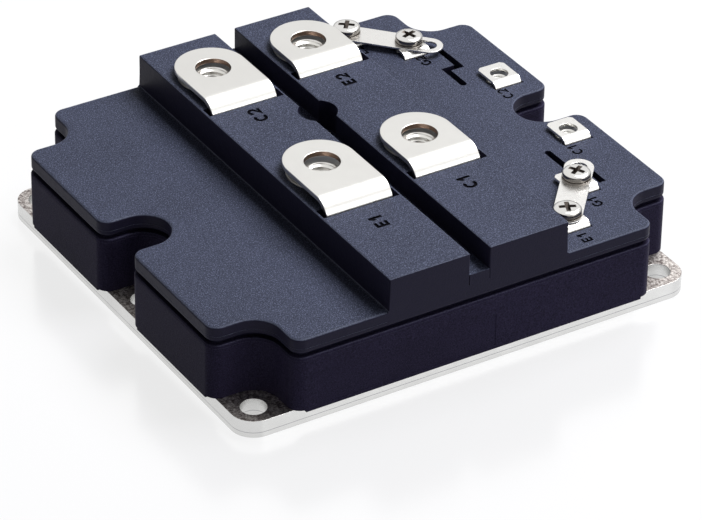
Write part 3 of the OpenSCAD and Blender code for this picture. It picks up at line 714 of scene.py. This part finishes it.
# ---------- nuts with threads ----------
def threaded_nut(at, z1, flats, h, core_r, pitch, flange=(0, 0)):
    """Hexagon nut with a helical thread and chamfered mouths; flange is a radius and a thickness."""
    n = 72
    flange_r, flange_t = flange
    z0 = z1 - (h + flange_t)
    depth, chamfer = 0.54 * pitch, 0.15
    steps = max(8, round((h + flange_t) / pitch * 8))

    def thread_r(z, i):
        phase = ((z - z0) / pitch - i / n) % 1.0
        r = core_r + depth * min(1.0, max(0.0, 1.15 - abs(phase - 0.5) * 2 * 1.3))
        return max(r, core_r + depth + chamfer - (z1 - z), core_r + depth + chamfer - (z - z0))

    def hex_ring(z, cut):
        """Hexagon with its corners cut back to a radius."""
        radii = []
        for i in range(n):
            local = (TAU * i / n + math.pi / 6) % (math.pi / 3) - math.pi / 6
            radii.append(min(flats / 2 / math.cos(abs(local) - math.pi / 6), cut))
        return ring(at, z, radii)

    heights = [z0 + (z1 - z0) * k / steps for k in range(steps + 1)]
    bore = [ring(at, z, [thread_r(z, i) for i in range(n)]) for z in heights]
    corner = flats / 2 / math.cos(math.pi / 6)
    outer = [hex_ring(z0, corner * 0.94), hex_ring(z0 + 0.5, corner * 1.01)]
    if flange_t:
        low = z1 - flange_t
        outer.append(hex_ring(low, corner * 1.01))
        edge = [(low, 0.15), (low + 0.15, 0), (z1 - 0.25, 0), (z1 - 0.07, 0.07), (z1, 0.25)]
        outer += [ring(at, z, [flange_r - inset] * n) for z, inset in edge]
    else:
        outer += [hex_ring(z1 - 0.45, corner * 1.01), hex_ring(z1, corner * 0.93)]
    rings = bore[::-1] + outer
    faces, m = [], len(rings)
    for k in range(m):
        faces += band(k * n, ((k + 1) % m) * n, n)
    obj = make_object("nut", [p for points in rings for p in points], faces)
    outward(obj)
    return obj


def build_nuts():
    m8 = (M8_TOP, M8_FLATS, M8_H, M8_CORE_R, M8_PITCH, (FLANGE_R, FLANGE_T))
    m4 = (M4_TOP, M4_FLATS, M4_H, M4_CORE_R, M4_PITCH)
    main_places = [(side * RAIL_X, y) for side, y, _ in MAIN.values()]
    for node, sizes, places in (("m8_nuts", m8, main_places), ("m4_nuts", m4, AUX.values())):
        nuts = join(node + "_dressed", [threaded_nut(at, *sizes) for at in places])
        paint(nuts, "nut")
        smooth(nuts, 28)
        finish_piece(nuts, "nut_steel", node)


# ---------- screws and washers ----------
def screw(x, y, turn):
    """Pan-head screw with a cross recess."""
    seat, r, h = SCREW_SEAT, HEAD_R, HEAD_H
    rim, crown, rise = 0.75, 1.3, h - 0.85  # height of the upright side, width and height of the rounding
    head = [(SHANK_R, seat - SHANK_L), (SHANK_R, seat), (r - 0.15, seat), (r, seat + 0.15), (r, seat + rim)]
    for k in range(1, 8):
        a = math.radians(90 * k / 7)
        head.append((r - crown * (1 - math.cos(a)), seat + rim + rise * math.sin(a)))
    head.append((1.2, seat + h - 0.02))
    body = lathe("screw", head, (x, y), 48)
    # half length, half width and height of the cross's arms, at their lower and upper end
    levels = ((0.9, 0.34, seat + h - RECESS_DEPTH), (2.75, 0.72, seat + h + 0.3))
    for k in range(2):
        a = turn + k * math.pi / 2
        c, s = math.cos(a), math.sin(a)
        rings = []
        for u1, v1, z in levels:
            corners = [(-u1, -v1), (u1, -v1), (u1, v1), (-u1, v1)]
            rings.append([(x + u * c - v * s, y + u * s + v * c, z) for u, v in corners])
        boolean(body, stack("recess", rings))
    return body


def spring_washer(x, y, turn):
    """Split washer with a little pitch between its ends."""
    z0, n, r0, r1 = LINK_TOP + FLAT_T, 60, 2.15, 3.6
    gap = math.radians(7)  # opening of the split
    t = SPRING_T - SPRING_RISE
    section = [(r0, 0.08), (r0 + 0.08, 0), (r1 - 0.1, 0), (r1, 0.1)]
    section += [(r1, t - 0.1), (r1 - 0.1, t), (r0 + 0.08, t), (r0, t - 0.08)]
    rings = []
    for i in range(n + 1):
        a = turn + gap / 2 + (TAU - gap) * i / n
        rise = SPRING_RISE * (i / n)
        rings.append([(x + r * math.cos(a), y + r * math.sin(a), z0 + rise + z) for r, z in section])
    return stack("spring", rings)


def build_fasteners():
    where = [(*AUX[k], turn) for k, turn in SCREW_TURNS.items()]
    screws = join("link_screws_dressed", [screw(x, y, turn) for x, y, turn in where])
    paint(screws, "screw")
    # painted shade: the faces inside the cross recesses get the dark recess material
    screws.data.materials.append(MAT["recess"])
    for f in screws.data.polygons:
        u, v, z = f.center / MM
        inside = min(math.hypot(u - x, v - y) for x, y, turn in where) < 2.3
        if inside and SCREW_SEAT + 0.2 < z < SCREW_SEAT + HEAD_H - 0.1:
            f.material_index = 1
    smooth(screws, 30)
    finish_piece(screws, "screw_steel", "link_screws")
    springs = [spring_washer(x, y, turn + SPRING_TURN) for x, y, turn in where]
    springs = join("spring_washers_dressed", springs)
    paint(springs, "washer")
    smooth(springs, 30)
    finish_piece(springs, "screw_steel", "spring_washers")


# ---------- CAD nodes that stay ----------
def dress_nodes():
    """Gives the CAD nodes that stay their materials, and rounds the edges of those that are seen."""
    looks = {  # node: material, width of the rounding
        "base_plate": ("plate", 0.25),
        "flat_washers": ("washer", 0.06),
        "gel_filling": ("gel", 0),
        "gate_board": ("board", 0),
        "signal_pins": ("pin", 0),
        "shorting_link_front": ("link", 0.12),
        "shorting_link_back": ("link", 0.12),
    }
    looks.update({"main_terminal_" + t: ("terminal", 0.22) for t in MAIN})
    looks.update({"aux_terminal_" + t: ("link", 0.12) for t in AUX})
    kinds = {
        "copper_back": "copper",
        "ceramic": "ceramic",
        "copper_tracks": "copper",
        "igbt_chips": "silicon",
        "diode_chips": "silicon",
        "bond_ribbons": "ribbon",
    }
    looks.update({f"{kind}_{q}": (key, 0) for kind, key in kinds.items() for q in range(1, 5)})
    for name, (key, width) in looks.items():
        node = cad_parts[name]
        for k in range(len(node.data.materials)):
            node.data.materials[k] = MAT[key]
        if not node.data.materials:
            node.data.materials.append(MAT[key])
        if width:
            soften(node, width)


# ---------- stage ----------
def build_floor():
    """White table, near white by itself to the camera and in reflections, so the shadow stays faint."""
    m = Material("floor_white")
    rays = m.node("ShaderNodeLightPath").outputs
    seen = m.math("MAXIMUM", rays["Is Camera Ray"], rays["Is Glossy Ray"])
    seen = m.math("MAXIMUM", seen, rays["Is Transmission Ray"])
    lit = m.mix(m.noise(3, 1), (0.42, 0.42, 0.44), (0.46, 0.46, 0.48))
    m.set(Base_Color=m.mix(seen, lit, (0.10, 0.10, 0.11)), Roughness=0.20, Specular_IOR_Level=0.9)
    m.set(Emission_Color=(1.0, 1.0, 1.0), Emission_Strength=m.math("MULTIPLY", seen, 0.80))
    corners = [(x * FLOOR_HALF, y * FLOOR_HALF, FLOOR_Z) for x, y in ((-1, -1), (1, -1), (1, 1), (-1, 1))]
    floor = make_object("floor", corners, [(0, 1, 2, 3)])
    floor.data.materials.append(m.mat)


def build_world():
    """White background for the camera; in reflections, white overhead and dimmer at the horizon."""
    world = bpy.data.worlds.new("studio")
    bpy.context.scene.world = world
    world.use_nodes = True
    g = Graph(world.node_tree)
    height = g.node("ShaderNodeMapRange")
    height.interpolation_type = "SMOOTHSTEP"
    for socket, value in (("From Min", 0.04), ("From Max", 0.42), ("To Min", 0.30), ("To Max", 1.0)):
        height.inputs[socket].default_value = value
    g.link(g.split("Generated")[2], height.inputs["Value"])
    rays = g.node("ShaderNodeLightPath").outputs
    clear = g.math("MAXIMUM", rays["Is Camera Ray"], rays["Is Transmission Ray"])
    seen = g.math("MAXIMUM", clear, g.math("MULTIPLY", rays["Is Glossy Ray"], height.outputs[0]))
    back = g.node("ShaderNodeBackground")
    back.inputs["Color"].default_value = (1, 1, 1, 1)
    g.link(g.math("MAXIMUM", seen, 0.035), back.inputs["Strength"])
    g.link(back.outputs[0], g.node("ShaderNodeOutputWorld").inputs[0])


def area_light(name, place, size, power):
    """Rectangular light that faces the module."""
    data = bpy.data.lights.new(name, "AREA")
    data.shape = "RECTANGLE"
    data.size, data.size_y = size
    data.energy = power
    obj = add_object(name, data)
    obj.location = place
    obj.rotation_euler = (Vector(LIGHT_TARGET) - Vector(place)).to_track_quat("-Z", "Y").to_euler()


def build_camera():
    """Camera fitted to the centres of the module's holes."""
    forward = Vector((math.sin(-YAW) * math.cos(PITCH), math.cos(YAW) * math.cos(PITCH), math.sin(PITCH)))
    right = forward.cross(Vector((0, 0, 1))).normalized()
    up = right.cross(forward)
    c, s = math.cos(ROLL), math.sin(ROLL)
    x_axis = c * right + s * up
    y_axis = -s * right + c * up
    data = bpy.data.cameras.new("camera")
    data.sensor_width = SENSOR_WIDTH
    data.lens = LENS
    data.clip_start, data.clip_end = 0.05, 20
    obj = add_object("camera", data)
    rotation = Matrix((x_axis, y_axis, -forward)).transposed().to_4x4()
    obj.matrix_world = Matrix.Translation(Vector(CAMERA_AT) * MM) @ rotation
    bpy.context.scene.camera = obj


build_lid()
build_rail(-1, "terminal_rail_left")
build_rail(1, "terminal_rail_right")
build_case()
build_nuts()
build_fasteners()
dress_nodes()
build_floor()
build_world()
for light, settings in LIGHTS.items():
    area_light(light, *settings)
build_camera()

bpy.context.scene.view_settings.view_transform = "Standard"
